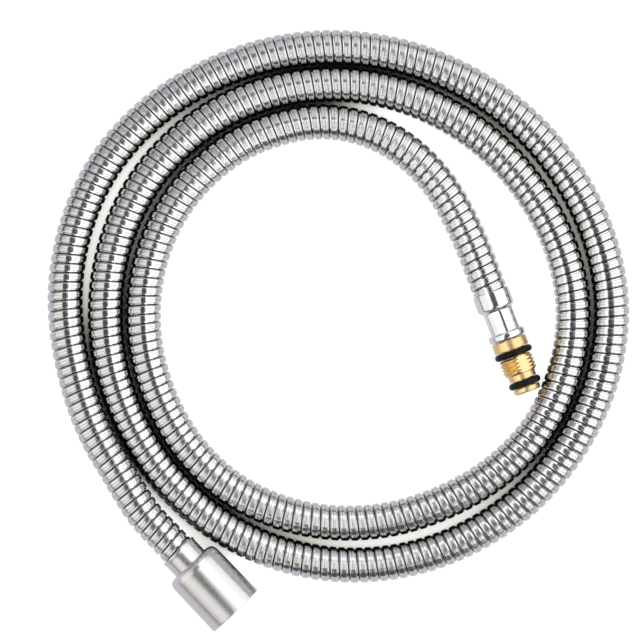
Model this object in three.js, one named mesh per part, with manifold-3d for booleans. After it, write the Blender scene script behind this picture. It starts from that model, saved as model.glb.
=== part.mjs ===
// A flexible metal sprayer hose, put away in loose flat turns on a table.
// One end has a swivel cup nut with an inside pipe thread, the other a hex ferrule
// and a threaded brass spigot with two seal rings.
// Millimetres, +Z up. The route is laid out around the middle of the turns, and the
// finished group is moved so that the origin is the bottom centre of the whole hose.

import * as THREE from 'three';
import { mergeVertices } from 'three/addons/utils/BufferGeometryUtils.js';
import Module from 'manifold-3d';

const wasm = await Module();
wasm.setup();

// ---------------------------------------------------------------- driving dimensions

const CLEARANCE = 0.3;            // gap between pieces that touch on the real hose
const FLOOR_GAP = 0.05;           // a fitting's lowest point above the surface

// the wound metal sheath, an eight-sided ribbed tube
const HOSE_DIAMETER = 14;         // across the flats of a rib's crown
const RIB_DEPTH = 0.85;
const SHEATH_BORE = 9.6;          // across the flats
const FLAT_SHARE = 0.1;           // how much of the diameter the underside loses
const HOSE_SIDES = 8;
const NUT_RUN_RIBS = 15;
const COIL_RIBS = 168;
const SPIGOT_RUN_RIBS = 15;
const RIBS_PER_BORE_STEP = 3;

// the rubber tube inside the sheath
const TUBE_WALL = 1.2;

// radius of the loose turns, one row a turn, one value every 30 degrees, clockwise from above
const FIRST_TURN_ANGLE = 135;
const TURN_STEP = 30;
const OUTER_TURN = [108.1, 107.4, 103.4, 101.5, 101.8, 104.9, 109.2, 108.9, 106.9, 103.8, 99.2, 94.6];
const MIDDLE_TURN = [91.9, 90.3, 88.4, 86.9, 86.7, 89.2, 93.9, 94.2, 89.9, 87.3, 84.5, 79.8];
const INNER_TURN = [76.8, 75.1, 73.8];
const POINTS_PER_STEP = 2;

// where each fitting's hose-side rim lies, and which way the fitting points
const NUT_RIM = [-113.4, -27.3];
const NUT_HEADING = 180;          // degrees counter-clockwise from +Y
const SPIGOT_RIM = [47.0, -39.0];
const SPIGOT_HEADING = 157.1;

// the free ends: plan position, and share of the climb from the turns to the fitting's axis
const NUT_BEND = [[-112.9, -6.0, 0.98], [-111.4, 2.0, 0.93], [-109.1, 12.0, 0.82]];
const NUT_RUN = [[-105.9, 26.0, 0.62], [-101.9, 37.2, 0.45], [-93.4, 53.9, 0.2]];
const SPIGOT_RUN = [[30.1, 66.7, 0.1], [40.5, 60.4, 0.25], [49.4, 51.9, 0.4], [56.3, 41.3, 0.55]];
const SPIGOT_BEND = [
  [60.6, 29.7, 0.7], [62.3, 18.0, 0.82], [62.0, 6.7, 0.92], [59.9, -4.2, 0.98], [56.9, -14.2, 1],
];
const STRAIGHT_LENGTH = 14.5;     // the sheath runs straight this far out of a fitting
const STRAIGHT_POINTS = 3;

// fittings shared by both ends
const SHEATH_ENTRY = 4;           // plain end of the sheath inside the nut's ferrule
const TAIL_WALL = 0.8;
const TAIL_BEYOND_RIM = 4;        // barbed tail reaches this far past the rim into the hose
const BARB_COUNT = 4;
const BARB_LENGTH = 2.4;
const BARB_DEPTH = 0.3;
const CRIMP_WALL = 0.7;

// ferrule, insert, glide ring and washer at the nut end
const FERRULE_WALL = 0.7;
const FERRULE_LENGTH = 13;
const FERRULE_FRONT = 1.2;
const LIP_RISE = 0.25;
const LIP_LENGTH = 1.2;
const GLIDE_RING_THICKNESS = 1.3;
const GLIDE_RING_WIDTH = 1.1;
const FLANGE_THICKNESS = 2;
const WASHER_THICKNESS = 2.4;
const WASHER_HOLE = 10;

// the swivel nut and its G 1/2 inside thread
const NECK_SHOWN = 7.2;           // ferrule left bare behind the nut
const NUT_LENGTH = 26;
const NUT_WALL = 1.24;            // outside the thread's grooves, at the rear
const NUT_FLARE = 0.22;           // how much wider the radius is at the mouth
const NUT_SHOULDER_RADIUS = 3.5;
const NUT_MOUTH_EDGE = 0.5;
const PIPE_THREAD_MINOR = 18.6;
const PIPE_THREAD_DEPTH = 1.16;
const PIPE_THREAD_PITCH = 1.814;
const PIPE_THREAD_TURNS = 6;

// hex ferrule at the spigot end
const SLEEVE_WALL = 0.45;
const SLEEVE_LENGTH = 6.5;
const SLEEVE_TAPER = 1.6;
const SLEEVE_ENTRY = 2;           // plain end of the sheath inside the hex ferrule
const HEX_ACROSS_FLATS = 11.1;
const HEX_LENGTH = 8.7;
const HEX_TURN = 16.7;            // degrees the upper corner leans from straight up
const BEAD_DIAMETER = 14.9;
const BEAD_LENGTH = 3.2;
const BEAD_ROUND = 0.8;

// brass spigot with an M14 thread and two seal rings
const COLLAR_DIAMETER = 14.1;
const COLLAR_LENGTH = 3.9;
const SEAL_SECTION = 2.7;
const COLLAR_SEAL_DIAMETER = 15.5;
const NOSE_SEAL_DIAMETER = 13.2;
const SCREW_THREAD_DIAMETER = 13.8;
const SCREW_THREAD_DEPTH = 0.82;
const SCREW_THREAD_PITCH = 1.5;
const SCREW_THREAD_LENGTH = 6.7;
const THREAD_FLAT_DEPTH = 0.9;    // a flat milled across the thread, below its crest
const THREAD_FLAT_TURN = 22;      // degrees it leans from straight up
const SPIGOT_NECK_DIAMETER = 11;
const SPIGOT_NECK_LENGTH = 2.6;
const NOSE_DIAMETER = 10.7;
const NOSE_LENGTH = 2.1;
const NOSE_ROUND = 0.8;
const EDGE = 0.3;                 // broken edge on small turned pieces

const NUT_SIDES = 32;
const ROUND_SIDES = 24;
const INNER_SIDES = 20;
const THREAD_STEPS = 18;          // steps in one turn of a thread
const THREAD_FADE = 9;            // steps over which a thread runs out
const FADED = 0.1;                // share of its height left at a thread's tip
const SEAL_SIDES = 8;

// ---------------------------------------------------------------- sizes that follow

const toRadians = THREE.MathUtils.degToRad;
const cornerOf = (acrossFlats) => acrossFlats / 2 / Math.cos(Math.PI / HOSE_SIDES);

const valleyDiameter = HOSE_DIAMETER - 2 * RIB_DEPTH;
const tubeDiameter = SHEATH_BORE - 2 * CLEARANCE;
const tubeBore = tubeDiameter - 2 * TUBE_WALL;
const tailRadius = tubeBore / 2 - CLEARANCE;
const waterRadius = tailRadius - TAIL_WALL;
const tailHole = tailRadius + CLEARANCE;
const crimpInner = cornerOf(tubeDiameter) + CLEARANCE;
const crimpOuter = crimpInner + CRIMP_WALL;
const ferruleBore = cornerOf(valleyDiameter) + CLEARANCE;
const ferruleOuter = ferruleBore + FERRULE_WALL;

const nutBack = NECK_SHOWN;
const nutMouth = nutBack + NUT_LENGTH;
const nutHole = ferruleOuter + CLEARANCE;
const flangeRadius = nutHole + GLIDE_RING_WIDTH;
const nutBore = flangeRadius + CLEARANCE;
const threadBore = PIPE_THREAD_MINOR / 2;
const threadEnd = nutMouth - PIPE_THREAD_TURNS * PIPE_THREAD_PITCH;
const nutRear = Math.max(nutBore, threadBore + PIPE_THREAD_DEPTH) + NUT_WALL;
const nutRadius = nutRear + NUT_FLARE;
const flangeBack = FERRULE_LENGTH + CLEARANCE;
const flangeFront = flangeBack + FLANGE_THICKNESS;
const glideRingFront = flangeBack - CLEARANCE;
const glideRingBack = glideRingFront - GLIDE_RING_THICKNESS;
const nutShoulder = glideRingBack - CLEARANCE;
const washerBack = flangeFront + CLEARANCE;
const washerFront = washerBack + WASHER_THICKNESS;
const nutCrimpFront = FERRULE_LENGTH - FERRULE_FRONT - CLEARANCE;

const sleeveRadius = ferruleBore + SLEEVE_WALL;
const hexBack = SLEEVE_LENGTH + SLEEVE_TAPER;
const hexCorner = HEX_ACROSS_FLATS / 2 / Math.cos(Math.PI / 6);
const beadBack = hexBack + HEX_LENGTH;
const beadFront = beadBack + BEAD_LENGTH;
const spigotCrimpBack = SLEEVE_ENTRY + 2 * CLEARANCE;
const spigotCrimpFront = SLEEVE_LENGTH - CLEARANCE;
const grooveWidth = SEAL_SECTION + 2 * CLEARANCE;
const collarBack = beadFront + CLEARANCE;
const collarFront = collarBack + COLLAR_LENGTH;
const threadBack = collarFront + grooveWidth;
const threadFront = threadBack + SCREW_THREAD_LENGTH;
const neckFront = threadFront + SPIGOT_NECK_LENGTH;
const noseBack = neckFront + grooveWidth;
const noseFront = noseBack + NOSE_LENGTH;
const threadRoot = SCREW_THREAD_DIAMETER / 2 - SCREW_THREAD_DEPTH;
const collarGrooveRoot = COLLAR_SEAL_DIAMETER / 2 - SEAL_SECTION - CLEARANCE;
const noseGrooveRoot = NOSE_SEAL_DIAMETER / 2 - SEAL_SECTION - CLEARANCE;

const turnHeight = HOSE_DIAMETER * (0.5 - FLAT_SHARE);
const nutHeight = nutRadius + FLOOR_GAP;
const spigotHeight = COLLAR_SEAL_DIAMETER / 2 + FLOOR_GAP;

// ---------------------------------------------------------------- materials

const finish = (color, roughness, metalness) => new THREE.MeshStandardMaterial({ color, roughness, metalness });

const sheathMetal = finish(0xc9c6c4, 0.25, 1);
const brushedNickel = finish(0xb9b4ae, 0.42, 1);
const chrome = finish(0xdcdcde, 0.12, 1);
const brass = finish(0xd9a441, 0.25, 1);
const whiteRubber = finish(0x8f8f8c, 0.7, 0);
const blackRubber = finish(0x101012, 0.4, 0);
const acetal = finish(0xe9e6dc, 0.45, 0);

// ---------------------------------------------------------------- making solids

// Joins rings of points, each ring counter-clockwise about the way the rings advance.
// A loop joins its last ring to its first; otherwise both ends are capped.
function joinRings(rings, isLoop) {
  const count = rings[0].length;
  const positions = rings.flat().flatMap((point) => point.toArray());
  const faces = [];
  const joints = isLoop ? rings.length : rings.length - 1;
  for (let ring = 0; ring < joints; ring += 1) {
    const here = ring * count;
    const there = ((ring + 1) % rings.length) * count;
    for (let i = 0; i < count; i += 1) {
      const next = (i + 1) % count;
      faces.push(here + i, here + next, there + i);
      faces.push(here + next, there + next, there + i);
    }
  }
  if (!isLoop) {
    const last = (rings.length - 1) * count;
    for (let i = 1; i < count - 1; i += 1) {
      faces.push(0, i + 1, i);
      faces.push(last, last + i, last + i + 1);
    }
  }
  const geometry = new THREE.BufferGeometry();
  geometry.setAttribute('position', new THREE.Float32BufferAttribute(positions, 3));
  geometry.setIndex(faces);
  return geometry;
}

// Only positions, with shared corners merged, so that the surface is closed.
function welded(geometry) {
  const bare = geometry.clone();
  bare.deleteAttribute('normal');
  bare.deleteAttribute('uv');
  return mergeVertices(bare, 1e-5);
}

function toSolid(geometry) {
  const closed = welded(geometry);
  return new wasm.Manifold(new wasm.Mesh({
    numProp: 3,
    vertProperties: new Float32Array(closed.attributes.position.array),
    triVerts: new Uint32Array(closed.index.array),
  }));
}

function toGeometry(solid) {
  const mesh = solid.getMesh();
  const geometry = new THREE.BufferGeometry();
  geometry.setAttribute('position', new THREE.BufferAttribute(new Float32Array(mesh.vertProperties), 3));
  geometry.setIndex(new THREE.BufferAttribute(new Uint32Array(mesh.triVerts), 1));
  return geometry;
}

// A ring-shaped turned piece about +Y. The profile is [radius, height] pairs that go up the
// outside and down the inside, and closes on itself.
function turned(profile, sides) {
  const outline = profile.map(([radius, height]) => new THREE.Vector2(radius, height));
  outline.push(outline[0].clone());
  return welded(new THREE.LatheGeometry(outline, sides));
}

function plainRing(inner, outer, low, high, sides) {
  const edge = Math.min(EDGE, (outer - inner) / 4);
  return turned([
    [inner, low],
    [outer - edge, low],
    [outer, low + edge],
    [outer, high - edge],
    [outer - edge, high],
    [inner, high],
  ], sides);
}

function sealRing(outerDiameter, height) {
  const section = SEAL_SECTION / 2;
  const ring = new THREE.TorusGeometry(outerDiameter / 2 - section, section, SEAL_SIDES, THREAD_STEPS);
  ring.rotateX(Math.PI / 2);
  ring.translate(0, height, 0);
  return welded(ring);
}

// A tapered ridge wound about +Y, for adding as a thread or for cutting one.
// It is wide at the first radius, narrow at the second, and runs out at both ends.
function threadRidge({ wideRadius, narrowRadius, wide, narrow, pitch, turns, start }) {
  const steps = Math.round(turns * THREAD_STEPS);
  const outward = narrowRadius > wideRadius;
  const rings = [];
  for (let step = 0; step <= steps; step += 1) {
    const angle = (2 * Math.PI * step) / THREAD_STEPS;
    const height = start + (pitch * step) / THREAD_STEPS;
    const fade = Math.max(FADED, Math.min(1, step / THREAD_FADE, (steps - step) / THREAD_FADE));
    const tip = THREE.MathUtils.lerp(wideRadius, narrowRadius, fade);
    const section = [[wideRadius, wide / 2], [tip, narrow / 2], [tip, -narrow / 2], [wideRadius, -wide / 2]];
    if (!outward) section.reverse();
    rings.push(section.map(([radius, rise]) => (
      new THREE.Vector3(radius * Math.cos(angle), height + rise, radius * Math.sin(-angle))
    )));
  }
  return joinRings(rings, false);
}

// ---------------------------------------------------------------- the route

const radiusCurve = new THREE.SplineCurve(
  [...OUTER_TURN, ...MIDDLE_TURN, ...INNER_TURN].map((radius, i) => new THREE.Vector2(i, radius)),
);

// Points of the loose turns, worked out round the middle of the coil.
function turnPoints() {
  const steps = (radiusCurve.points.length - 1) * POINTS_PER_STEP;
  const points = [];
  for (let step = 0; step <= steps; step += 1) {
    const radius = radiusCurve.getPoint(step / steps).y;
    const angle = toRadians(FIRST_TURN_ANGLE - (step * TURN_STEP) / POINTS_PER_STEP);
    points.push(new THREE.Vector3(radius * Math.cos(angle), radius * Math.sin(angle), turnHeight));
  }
  return points;
}

function climbPoints(list, axisHeight) {
  return list.map(([x, y, share]) => (
    new THREE.Vector3(x, y, THREE.MathUtils.lerp(turnHeight, axisHeight, share))
  ));
}

// Points in one line on a fitting's axis, from deep inside the fitting to the end of the straight.
function axisPoints([x, y], headingDegrees, axisHeight, depth) {
  const heading = toRadians(headingDegrees);
  const inward = new THREE.Vector3(-Math.sin(heading), Math.cos(heading), 0);
  const rim = new THREE.Vector3(x, y, axisHeight);
  const points = [rim.clone().addScaledVector(inward, depth)];
  for (let i = 0; i <= STRAIGHT_POINTS; i += 1) {
    points.push(rim.clone().addScaledVector(inward, (-STRAIGHT_LENGTH * i) / STRAIGHT_POINTS));
  }
  return points;
}

const route = new THREE.CatmullRomCurve3([
  ...axisPoints(NUT_RIM, NUT_HEADING, nutHeight, nutCrimpFront),
  ...climbPoints([...NUT_BEND, ...NUT_RUN], nutHeight),
  ...turnPoints(),
  ...climbPoints([...SPIGOT_RUN, ...SPIGOT_BEND], spigotHeight),
  ...axisPoints(SPIGOT_RIM, SPIGOT_HEADING, spigotHeight, spigotCrimpFront).reverse(),
], false, 'chordal');
route.arcLengthDivisions = 4000;

const routeLength = route.getLength();
const ribStart = nutCrimpFront;
const ribEnd = routeLength - spigotCrimpFront;
const ribTotal = NUT_RUN_RIBS + COIL_RIBS + SPIGOT_RUN_RIBS;
const ribPitch = (ribEnd - ribStart) / ribTotal;

// The least distance between two passes of the hose, less its diameter, measured on points.
function leastGap() {
  const samples = 1600;
  const apart = Math.ceil((samples * 6 * HOSE_DIAMETER) / routeLength);
  const points = route.getSpacedPoints(samples);
  let least = Infinity;
  for (let i = 0; i <= samples; i += 1) {
    for (let j = i + apart; j <= samples; j += 1) {
      least = Math.min(least, points[i].distanceTo(points[j]));
    }
  }
  return least - HOSE_DIAMETER;
}

console.log(`hose ${(ribEnd - ribStart).toFixed(1)} mm between the rims, rib pitch ${ribPitch.toFixed(2)} mm`);
console.log(`least gap between two passes of the hose: ${leastGap().toFixed(2)} mm`);

// ---------------------------------------------------------------- the hose

// Corners of the hose's section at a distance along the route, with two sides level.
// A corner below the surface slides up its slanting side to the surface.
function sectionAt(distance, acrossFlats) {
  const share = distance / routeLength;
  const centre = route.getPointAt(share);
  const along = route.getTangentAt(share);
  const left = new THREE.Vector3(0, 0, 1).cross(along).normalize();
  const up = along.clone().cross(left);
  const radius = cornerOf(acrossFlats);
  const corners = [];
  for (let i = 0; i < HOSE_SIDES; i += 1) {
    const angle = ((i + 0.5) * 2 * Math.PI) / HOSE_SIDES;
    corners.push(centre.clone()
      .addScaledVector(left, radius * Math.cos(angle))
      .addScaledVector(up, radius * Math.sin(angle)));
  }
  return corners.map((corner, i) => {
    if (corner.z >= 0) return corner;
    const before = corners[(i + HOSE_SIDES - 1) % HOSE_SIDES];
    const after = corners[(i + 1) % HOSE_SIDES];
    const upper = before.z > after.z ? before : after;
    return corner.clone().lerp(upper, -corner.z / (upper.z - corner.z));
  });
}

const ribAt = (rib) => ribStart + rib * ribPitch;

// Places where the bore and the inner tube change direction, every few ribs.
function boreStations(firstRib, lastRib) {
  const stations = [];
  for (let rib = firstRib + RIBS_PER_BORE_STEP; rib < lastRib; rib += RIBS_PER_BORE_STEP) {
    stations.push(ribAt(rib));
  }
  return stations;
}

// A length of sheath from one rib to another, with its bore. The ribs are crown and valley
// rings in turn, and a plain stretch may go on past either end, inside a fitting.
function sheathLength(firstRib, lastRib, plainBefore, plainAfter) {
  const start = plainBefore ? ribAt(firstRib) - plainBefore : ribAt(firstRib) + CLEARANCE / 2;
  const end = plainAfter ? ribAt(lastRib) + plainAfter : ribAt(lastRib) - CLEARANCE / 2;
  const outside = [sectionAt(start, valleyDiameter)];
  if (plainBefore) outside.push(sectionAt(ribAt(firstRib), valleyDiameter));
  for (let rib = firstRib; rib < lastRib; rib += 1) {
    outside.push(sectionAt(ribAt(rib + 0.5), HOSE_DIAMETER));
    if (rib + 1 < lastRib) outside.push(sectionAt(ribAt(rib + 1), valleyDiameter));
  }
  if (plainAfter) outside.push(sectionAt(ribAt(lastRib), valleyDiameter));
  outside.push(sectionAt(end, valleyDiameter));
  const inside = [start, ...boreStations(firstRib, lastRib), end].map((place) => sectionAt(place, SHEATH_BORE));
  return joinRings([...outside, ...inside.reverse()], true);
}

function innerTube() {
  const stations = [0, ribStart, ...boreStations(0, ribTotal), ribEnd, routeLength];
  const outside = stations.map((place) => sectionAt(place, tubeDiameter));
  const inside = stations.map((place) => sectionAt(place, tubeBore));
  return joinRings([...outside, ...inside.reverse()], true);
}

// ---------------------------------------------------------------- nut end, about +Y from the rim

// Outside of a barbed tail from its tip up to its root.
function barbedTail(tip) {
  const outline = [[waterRadius, tip], [tailRadius - BARB_DEPTH, tip]];
  for (let barb = 1; barb <= BARB_COUNT; barb += 1) {
    const top = tip + barb * BARB_LENGTH;
    outline.push([tailRadius, top]);
    if (barb < BARB_COUNT) outline.push([tailRadius - BARB_DEPTH, top + BARB_DEPTH]);
  }
  return outline;
}

function nutEndFerrule() {
  const lip = ferruleOuter + LIP_RISE;
  const wallBack = FERRULE_LENGTH - FERRULE_FRONT;
  return turned([
    [ferruleBore, 0],
    [lip - EDGE, 0],
    [lip, EDGE],
    [lip, LIP_LENGTH - EDGE],
    [ferruleOuter, LIP_LENGTH],
    [ferruleOuter, FERRULE_LENGTH - EDGE],
    [ferruleOuter - EDGE, FERRULE_LENGTH],
    [tailHole, FERRULE_LENGTH],
    [tailHole, wallBack],
    [ferruleBore, wallBack],
  ], ROUND_SIDES);
}

function nutEndInsert() {
  return turned([
    ...barbedTail(-TAIL_BEYOND_RIM),
    [tailRadius, flangeBack],
    [flangeRadius - EDGE, flangeBack],
    [flangeRadius, flangeBack + EDGE],
    [flangeRadius, flangeFront - EDGE],
    [flangeRadius - EDGE, flangeFront],
    [waterRadius, flangeFront],
  ], INNER_SIDES);
}

function swivelNut() {
  const round = Math.min(NUT_SHOULDER_RADIUS, nutRear - nutHole);
  const leadIn = PIPE_THREAD_DEPTH + EDGE / 2;
  const outline = [[nutHole, nutBack]];
  const roundSteps = 5;
  for (let step = 0; step <= roundSteps; step += 1) {
    const angle = (Math.PI / 2) * (step / roundSteps);
    outline.push([
      nutRear - round * (1 - Math.sin(angle)),
      nutBack + round * (1 - Math.cos(angle)),
    ]);
  }
  outline.push(
    [nutRadius, nutMouth - NUT_MOUTH_EDGE],
    [nutRadius - NUT_MOUTH_EDGE, nutMouth],
    [threadBore + leadIn, nutMouth],
    [threadBore, nutMouth - leadIn],
    [threadBore, threadEnd],
    [nutBore, threadEnd - EDGE],
    [nutBore, nutShoulder],
    [nutHole, nutShoulder],
  );
  const groove = threadRidge({
    wideRadius: threadBore - CLEARANCE,
    narrowRadius: threadBore + PIPE_THREAD_DEPTH,
    wide: PIPE_THREAD_PITCH * 0.9,
    narrow: PIPE_THREAD_PITCH * 0.15,
    pitch: PIPE_THREAD_PITCH,
    turns: PIPE_THREAD_TURNS,
    start: threadEnd,
  });
  return toGeometry(toSolid(turned(outline, NUT_SIDES)).subtract(toSolid(groove)));
}

// ---------------------------------------------------------------- spigot end, about +Y from the rim

// Six boxes that stand round the bar and leave a hexagon between them.
function hexCutters() {
  const depth = hexCorner;
  const cutters = [];
  for (let side = 0; side < 6; side += 1) {
    const box = new THREE.BoxGeometry(2 * depth, HEX_LENGTH, depth);
    box.translate(0, hexBack + HEX_LENGTH / 2, HEX_ACROSS_FLATS / 2 + depth / 2);
    box.rotateY(toRadians(side * 60 + 30 - HEX_TURN));
    cutters.push(toSolid(box));
  }
  return cutters;
}

function hexFerrule() {
  const bead = BEAD_DIAMETER / 2;
  const edge = Math.min(EDGE, SLEEVE_WALL) / 2;
  const body = turned([
    [ferruleBore, 0],
    [sleeveRadius - edge, 0],
    [sleeveRadius, edge],
    [sleeveRadius, SLEEVE_LENGTH],
    [hexCorner, hexBack],
    [hexCorner, beadBack],
    [bead - BEAD_ROUND, beadBack],
    [bead, beadBack + BEAD_ROUND],
    [bead, beadFront - BEAD_ROUND],
    [bead - BEAD_ROUND, beadFront],
    [tailHole, beadFront],
    [tailHole, spigotCrimpFront + CLEARANCE],
    [crimpOuter + CLEARANCE, spigotCrimpFront + CLEARANCE],
    [crimpOuter + CLEARANCE, SLEEVE_ENTRY + CLEARANCE],
    [ferruleBore, SLEEVE_ENTRY + CLEARANCE],
  ], ROUND_SIDES);
  return toGeometry(hexCutters().reduce((rest, cutter) => rest.subtract(cutter), toSolid(body)));
}

function threadedSpigot() {
  const collar = COLLAR_DIAMETER / 2;
  const neck = SPIGOT_NECK_DIAMETER / 2;
  const nose = NOSE_DIAMETER / 2;
  const body = turned([
    ...barbedTail(-TAIL_BEYOND_RIM),
    [tailRadius, collarBack],
    [collar - EDGE, collarBack],
    [collar, collarBack + EDGE],
    [collar, collarFront - EDGE],
    [collar - EDGE, collarFront],
    [collarGrooveRoot, collarFront],
    [collarGrooveRoot, threadBack],
    [threadRoot, threadBack],
    [threadRoot, threadFront],
    [neck, threadFront],
    [neck, neckFront],
    [noseGrooveRoot, neckFront],
    [noseGrooveRoot, noseBack],
    [nose, noseBack],
    [nose, noseFront - NOSE_ROUND],
    [nose - NOSE_ROUND, noseFront],
    [waterRadius, noseFront],
  ], THREAD_STEPS);
  const crestHalf = SCREW_THREAD_PITCH / 2;
  const ridge = threadRidge({
    wideRadius: threadRoot - CLEARANCE,
    narrowRadius: threadRoot + SCREW_THREAD_DEPTH,
    wide: SCREW_THREAD_PITCH * 0.9,
    narrow: SCREW_THREAD_PITCH * 0.15,
    pitch: SCREW_THREAD_PITCH,
    turns: SCREW_THREAD_LENGTH / SCREW_THREAD_PITCH - 1,
    start: threadBack + crestHalf,
  });
  const crest = SCREW_THREAD_DIAMETER / 2;
  const mill = new THREE.BoxGeometry(2 * crest, SCREW_THREAD_LENGTH - 2 * CLEARANCE, crest);
  mill.translate(0, (threadBack + threadFront) / 2, 1.5 * crest - THREAD_FLAT_DEPTH);
  mill.rotateY(toRadians(-THREAD_FLAT_TURN));
  return toGeometry(toSolid(body).add(toSolid(ridge)).subtract(toSolid(mill)));
}

// ---------------------------------------------------------------- assembly

function piece(name, geometry, material) {
  const mesh = new THREE.Mesh(geometry, material);
  mesh.name = name;
  return mesh;
}

// A group whose +Y is a fitting's axis and whose origin is the middle of its hose-side rim.
function fittingAt([x, y], headingDegrees, axisHeight) {
  const fitting = new THREE.Group();
  fitting.position.set(x, y, axisHeight);
  fitting.rotation.z = toRadians(headingDegrees);
  return fitting;
}

const coilEndRib = NUT_RUN_RIBS + COIL_RIBS;

const hose = new THREE.Group();
hose.add(
  piece('hose_nut_run', sheathLength(0, NUT_RUN_RIBS, SHEATH_ENTRY, 0), sheathMetal),
  piece('hose_coil', sheathLength(NUT_RUN_RIBS, coilEndRib, 0, 0), sheathMetal),
  piece('hose_spigot_run', sheathLength(coilEndRib, ribTotal, 0, SLEEVE_ENTRY), sheathMetal),
  piece('inner_tube', innerTube(), whiteRubber),
);

const nutEnd = fittingAt(NUT_RIM, NUT_HEADING, nutHeight);
nutEnd.add(
  piece('nut_end_ferrule', nutEndFerrule(), brushedNickel),
  piece('nut_end_insert', nutEndInsert(), brass),
  piece(
    'nut_end_crimp_sleeve',
    plainRing(crimpInner, crimpOuter, SHEATH_ENTRY + CLEARANCE, nutCrimpFront, INNER_SIDES),
    chrome,
  ),
  piece(
    'nut_glide_ring',
    plainRing(nutHole, flangeRadius, glideRingBack, glideRingFront, ROUND_SIDES),
    acetal,
  ),
  piece(
    'nut_washer',
    plainRing(WASHER_HOLE / 2, flangeRadius, washerBack, washerFront, ROUND_SIDES),
    blackRubber,
  ),
  piece('swivel_nut', swivelNut(), brushedNickel),
);

const spigotEnd = fittingAt(SPIGOT_RIM, SPIGOT_HEADING, spigotHeight);
spigotEnd.add(
  piece('hex_ferrule', hexFerrule(), chrome),
  piece(
    'spigot_crimp_sleeve',
    plainRing(crimpInner, crimpOuter, spigotCrimpBack, spigotCrimpFront, INNER_SIDES),
    chrome,
  ),
  piece('threaded_spigot', threadedSpigot(), brass),
  piece('collar_o_ring', sealRing(COLLAR_SEAL_DIAMETER, (collarFront + threadBack) / 2), blackRubber),
  piece('nose_o_ring', sealRing(NOSE_SEAL_DIAMETER, (neckFront + noseBack) / 2), blackRubber),
);

const model = new THREE.Group();
model.add(hose, nutEnd, spigotEnd);
model.updateMatrixWorld(true);

// the origin is the bottom centre of the hose's box
const box = new THREE.Box3().setFromObject(model, true);
const centre = box.getCenter(new THREE.Vector3());
model.position.set(-centre.x, -centre.y, -box.min.z);
console.log(`middle of the turns at ${(-centre.x).toFixed(3)}, ${(-centre.y).toFixed(3)} mm from the origin`);

const part = new THREE.Group();
part.add(model);

export default part;
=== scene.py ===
"""The looks of a flexible metal sprayer hose that lies in loose flat turns.

One end has a satin cup nut on a short neck, the other a chrome ferrule with a hexagon and a
threaded brass spigot with two seal rings. Shapes are worked out in millimetres and made in metres.
"""

import math

import bpy
import numpy as np
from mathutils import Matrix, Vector


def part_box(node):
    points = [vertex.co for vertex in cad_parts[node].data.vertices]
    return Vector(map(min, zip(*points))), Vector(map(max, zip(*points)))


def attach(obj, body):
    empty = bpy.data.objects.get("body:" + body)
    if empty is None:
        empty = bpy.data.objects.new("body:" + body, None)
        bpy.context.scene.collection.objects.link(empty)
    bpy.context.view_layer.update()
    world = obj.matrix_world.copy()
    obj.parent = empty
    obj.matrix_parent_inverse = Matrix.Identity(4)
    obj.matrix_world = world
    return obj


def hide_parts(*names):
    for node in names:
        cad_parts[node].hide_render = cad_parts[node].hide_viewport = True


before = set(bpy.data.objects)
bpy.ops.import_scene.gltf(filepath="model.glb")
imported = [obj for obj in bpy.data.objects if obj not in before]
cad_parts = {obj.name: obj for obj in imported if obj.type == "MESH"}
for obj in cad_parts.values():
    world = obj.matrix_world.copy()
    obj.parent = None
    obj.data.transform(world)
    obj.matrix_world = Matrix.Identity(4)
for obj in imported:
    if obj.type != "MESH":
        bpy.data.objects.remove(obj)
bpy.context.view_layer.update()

MM = 0.001
ROUND_STEPS = 144                # points round a turned piece
SHARP_ANGLE = 38                 # degrees between two faces past which their edge is sharp
CORNER_POINTS = 6                # points on a rounded corner of an outline
EDGE = 0.01                      # what a place may be off and still count as on an edge
CHAMFER = 0.3                    # length of the slope at one end of each thread
WAVE_STEEPNESS = 1.3             # the height of a thread's wave before its crest is cut flat
WAVE_ROOT = 0.12                 # and what is cut off at its root

# ---------------------------------------------------------------- driving sizes, in millimetres

CLEARANCE = 0.3                  # gap between pieces that touch on the real hose

# the hose and its wound strip
HOSE_RADIUS = 7.0
STRIP_TURNS = 413                # turns of strip between the rims of the two fittings
STRIP_STEPS = 20                 # points in one turn
SHEATH_BORE_RADIUS = 4.8
BORE_RING_SPACING = 15.0
PATH_POINTS = 520                # points of the path that the cord is declared with
HALF_CHORD = 0.5                 # the hose's direction is taken this far ahead and behind
# one turn's section from the slit up the ledge, over the crown and down into the next slit: how far
# along the hose, how far under the crown, and how many degrees the surface leans forward there
STRIP_SECTION = [
    (0.00, 1.40, 40), (0.20, 1.30, -40), (0.26, 0.54, 12), (0.80, 0.66, 10), (0.86, 0.22, -66),
    (0.93, 0.06, -30), (1.06, 0.01, -3), (2.88, 0.00, 3), (3.20, 0.08, 28), (3.46, 0.46, 62),
    (3.58, 1.40, 80),
]

# radius of the loose turns round their middle, clockwise from above, every 30 degrees
FIRST_TURN_ANGLE = 135
TURN_STEP = 30
OUTER_TURN = [108.1, 107.4, 103.4, 101.5, 101.8, 104.9, 109.2, 108.9, 106.9, 103.8, 99.2, 94.6]
MIDDLE_TURN = [91.9, 90.3, 88.4, 86.9, 86.7, 89.2, 93.9, 94.2, 89.9, 87.3, 84.5, 79.8]
INNER_TURN = [76.8, 75.1, 73.8]
POINTS_PER_STEP = 2
CURVE_POINTS = 240               # points of the smooth route between two of its given points

# each fitting's hose-side rim, and the way that the fitting points, from +Y
NUT_RIM = (-113.4, -27.3)
NUT_HEADING = 180
SPIGOT_RIM = (47.0, -39.0)
SPIGOT_HEADING = 157.1

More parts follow.
